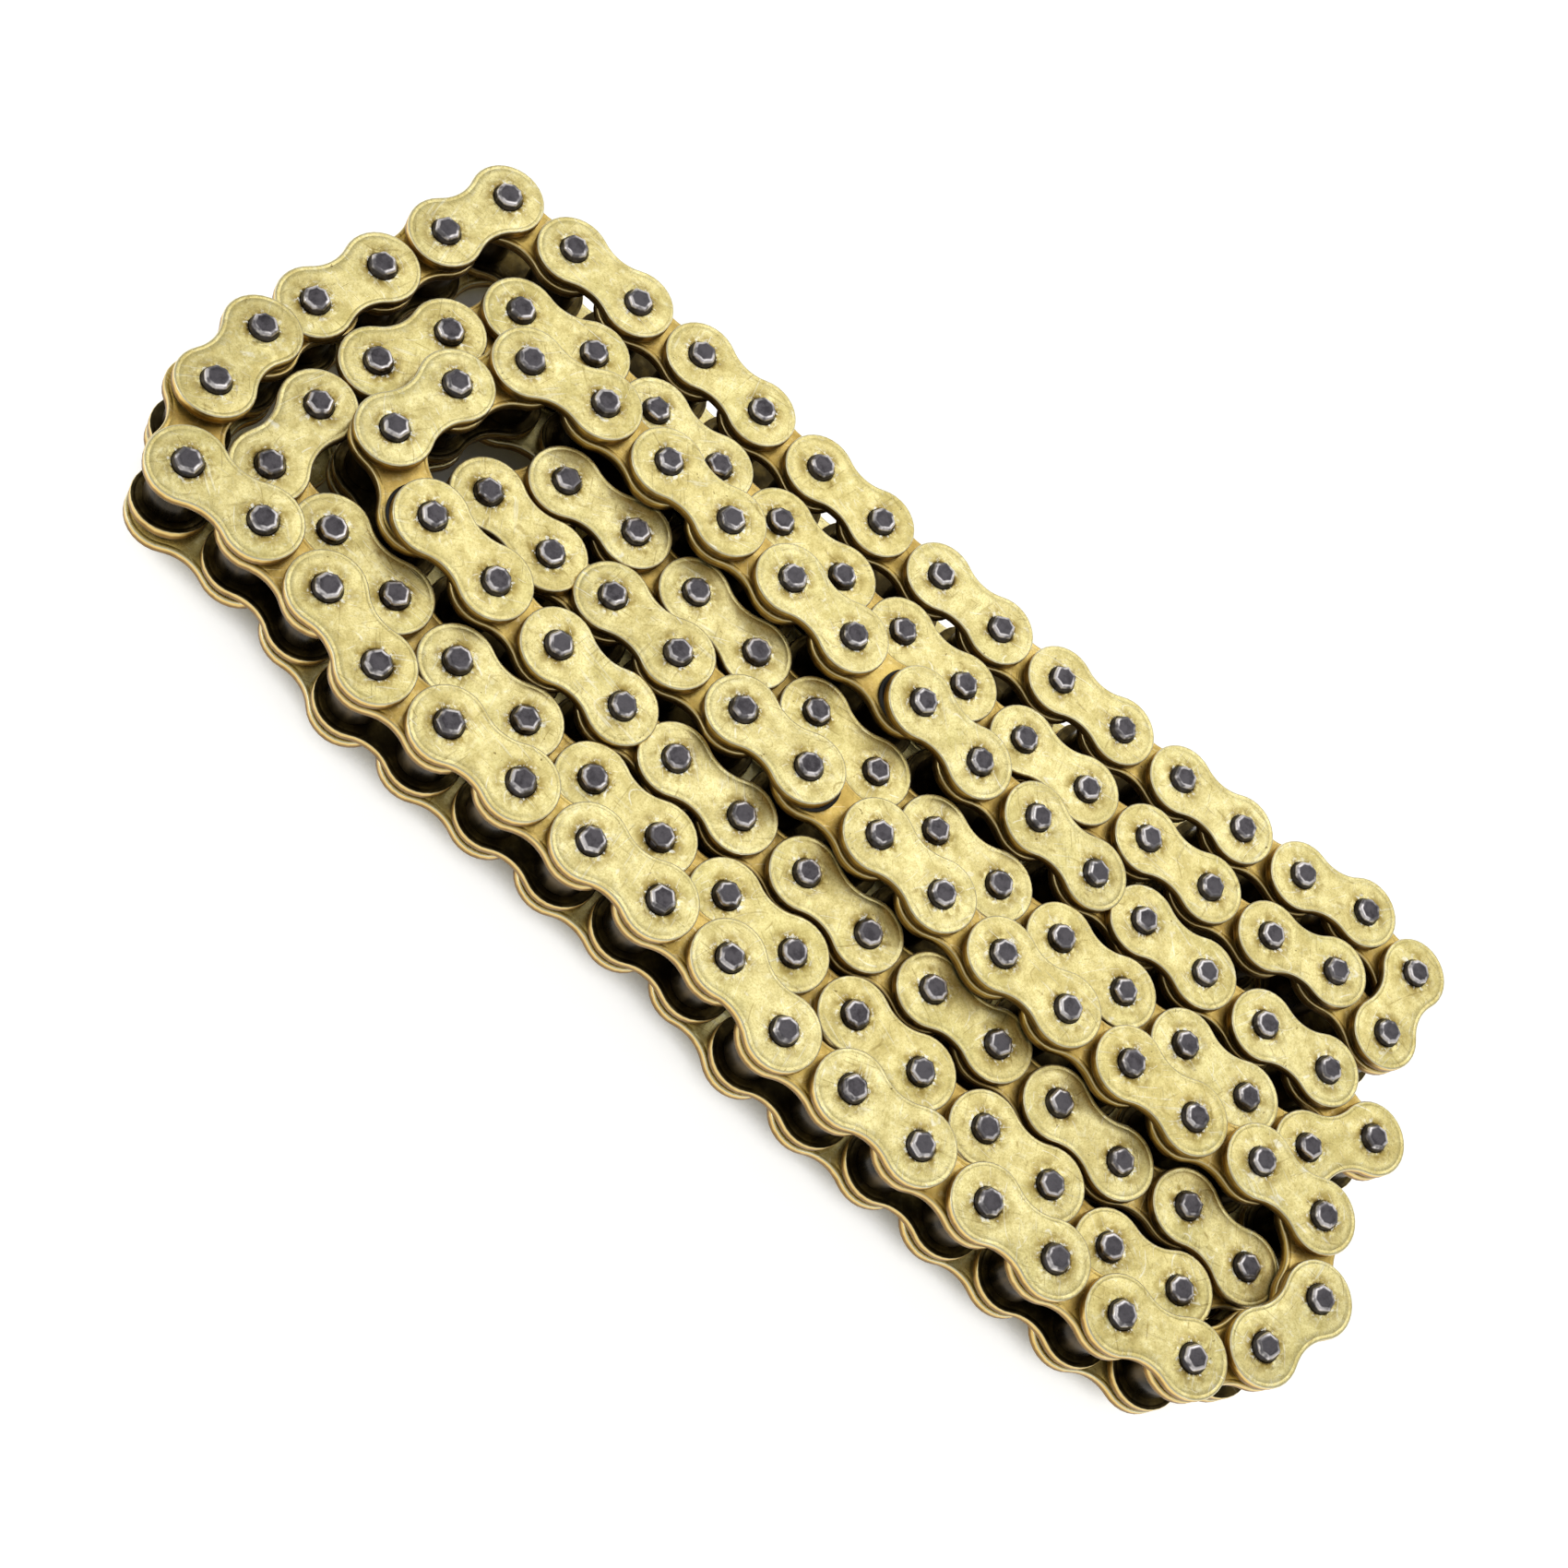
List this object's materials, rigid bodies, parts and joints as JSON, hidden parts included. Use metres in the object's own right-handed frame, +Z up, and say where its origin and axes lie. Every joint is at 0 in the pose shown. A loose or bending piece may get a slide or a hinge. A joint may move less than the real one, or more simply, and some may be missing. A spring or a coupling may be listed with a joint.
{
  "type": "drive chain",
  "caption": "Heavy sealed roller drive chain for a motorcycle, folded flat into parallel runs, with open ends and a loose stretch that bends at its pins.",
  "frame": {"origin": "under the middle of the folded chain, on the surface that it lies on", "axes": "+X along the straight runs, +Y across them towards the run with the loose stretch, +Z up along the chain's pins"},
  "size_m": [0.2212, 0.0988, 0.0246],
  "materials": {
    "gold_plate": "bright pale gold plating, fine scratches",
    "inner_plate": "deeper gold plating",
    "pin_steel": "gunmetal steel, staked and lightly worn ends",
    "roller_steel": "polished near-black steel",
    "seal_rubber": "black rubber, lightly greased"
  },
  "bodies": {
    "packed_chain": {"run_7": "gold_plate", "fold_7_to_6": "gold_plate", "run_6": "gold_plate", "fold_6_to_3": "gold_plate", "run_3": "gold_plate", "fold_3_to_4": "gold_plate", "run_4": "gold_plate", "fold_4_to_5": "gold_plate", "run_5": "gold_plate", "fold_5_to_8": "gold_plate", "run_8": "gold_plate", "side_arc": "gold_plate", "run_1": "gold_plate", "fold_1_to_2": "gold_plate", "run_2": "gold_plate"},
    "open_end_a": {"open_end_a": "gold_plate"},
    "open_end_b": {"open_end_b": "gold_plate"},
    "link_1": {"link_1_plate_lower": "inner_plate", "link_1_plate_upper": "inner_plate", "link_1_bush_near": "roller_steel", "link_1_seal_near_lower": "seal_rubber", "link_1_seal_near_upper": "seal_rubber", "link_1_bush_far": "roller_steel", "link_1_seal_far_lower": "seal_rubber", "link_1_seal_far_upper": "seal_rubber"},
    "link_2": {"link_2_plate_lower": "gold_plate", "link_2_plate_upper": "gold_plate", "link_2_pin_near": "pin_steel", "link_2_pin_far": "pin_steel"},
    "link_3": {"link_3_plate_lower": "inner_plate", "link_3_plate_upper": "inner_plate", "link_3_bush_near": "roller_steel", "link_3_seal_near_lower": "seal_rubber", "link_3_seal_near_upper": "seal_rubber", "link_3_bush_far": "roller_steel", "link_3_seal_far_lower": "seal_rubber", "link_3_seal_far_upper": "seal_rubber"},
    "link_4": {"link_4_plate_lower": "gold_plate", "link_4_plate_upper": "gold_plate", "link_4_pin_near": "pin_steel", "link_4_pin_far": "pin_steel"},
    "link_5": {"link_5_plate_lower": "inner_plate", "link_5_plate_upper": "inner_plate", "link_5_bush_near": "roller_steel", "link_5_seal_near_lower": "seal_rubber", "link_5_seal_near_upper": "seal_rubber", "link_5_bush_far": "roller_steel", "link_5_seal_far_lower": "seal_rubber", "link_5_seal_far_upper": "seal_rubber"},
    "link_6": {"link_6_plate_lower": "gold_plate", "link_6_plate_upper": "gold_plate", "link_6_pin_near": "pin_steel", "link_6_pin_far_lower": "pin_steel", "link_6_pin_far_upper": "pin_steel"},
    "roller_1_near": {"link_1_roller_near": "roller_steel"},
    "roller_1_far": {"link_1_roller_far": "roller_steel"},
    "roller_3_near": {"link_3_roller_near": "roller_steel"},
    "roller_3_far": {"link_3_roller_far": "roller_steel"},
    "roller_5_near": {"link_5_roller_near": "roller_steel"},
    "roller_5_far": {"link_5_roller_far": "roller_steel"}
  },
  "joints": [
    {"name": "open_end_a_bend", "type": "hinge", "parent": "packed_chain", "child": "open_end_a", "pos_m": [-0.09063, -0.02467, 0.0098], "axis": [0, 0, 1], "range_deg": [-2, 3]},
    {"name": "open_end_b_bend", "type": "hinge", "parent": "packed_chain", "child": "open_end_b", "pos_m": [-0.08583, 0.01205, 0.0098], "axis": [0, 0, 1], "range_deg": [-4, 5]},
    {"name": "link_1_bend", "type": "hinge", "parent": "packed_chain", "child": "link_1", "pos_m": [0.03302, 0.03865, 0.0098], "axis": [0, 0, 1], "range_deg": [0, 28]},
    {"name": "link_2_bend", "type": "hinge", "parent": "link_1", "child": "link_2", "pos_m": [0.04571, 0.0391, 0.0098], "axis": [0, 0, 1], "range_deg": [0, 28]},
    {"name": "link_3_bend", "type": "hinge", "parent": "link_2", "child": "link_3", "pos_m": [0.0584, 0.03954, 0.0098], "axis": [0, 0, 1], "range_deg": [0, 28]},
    {"name": "link_4_bend", "type": "hinge", "parent": "link_3", "child": "link_4", "pos_m": [0.07107, 0.04043, 0.0098], "axis": [0, 0, 1], "range_deg": [0, 28]},
    {"name": "link_5_bend", "type": "hinge", "parent": "link_4", "child": "link_5", "pos_m": [0.08345, 0.04328, 0.0098], "axis": [0, 0, 1], "range_deg": [0, 28]},
    {"name": "link_6_bend", "type": "hinge", "parent": "link_5", "child": "link_6", "pos_m": [0.09582, 0.04043, 0.0098], "axis": [0, 0, 1], "range_deg": [0, 28]},
    {"name": "roller_1_near_spin", "type": "hinge", "parent": "link_1", "child": "roller_1_near", "pos_m": [0.03302, 0.03865, 0.0098], "axis": [0, 0, 1], "continuous": true},
    {"name": "roller_1_far_spin", "type": "hinge", "parent": "link_1", "child": "roller_1_far", "pos_m": [0.04571, 0.0391, 0.0098], "axis": [0, 0, 1], "continuous": true},
    {"name": "roller_3_near_spin", "type": "hinge", "parent": "link_3", "child": "roller_3_near", "pos_m": [0.0584, 0.03954, 0.0098], "axis": [0, 0, 1], "continuous": true},
    {"name": "roller_3_far_spin", "type": "hinge", "parent": "link_3", "child": "roller_3_far", "pos_m": [0.07107, 0.04043, 0.0098], "axis": [0, 0, 1], "continuous": true},
    {"name": "roller_5_near_spin", "type": "hinge", "parent": "link_5", "child": "roller_5_near", "pos_m": [0.08345, 0.04328, 0.0098], "axis": [0, 0, 1], "continuous": true},
    {"name": "roller_5_far_spin", "type": "hinge", "parent": "link_5", "child": "roller_5_far", "pos_m": [0.09582, 0.04043, 0.0098], "axis": [0, 0, 1], "continuous": true}
  ]
}
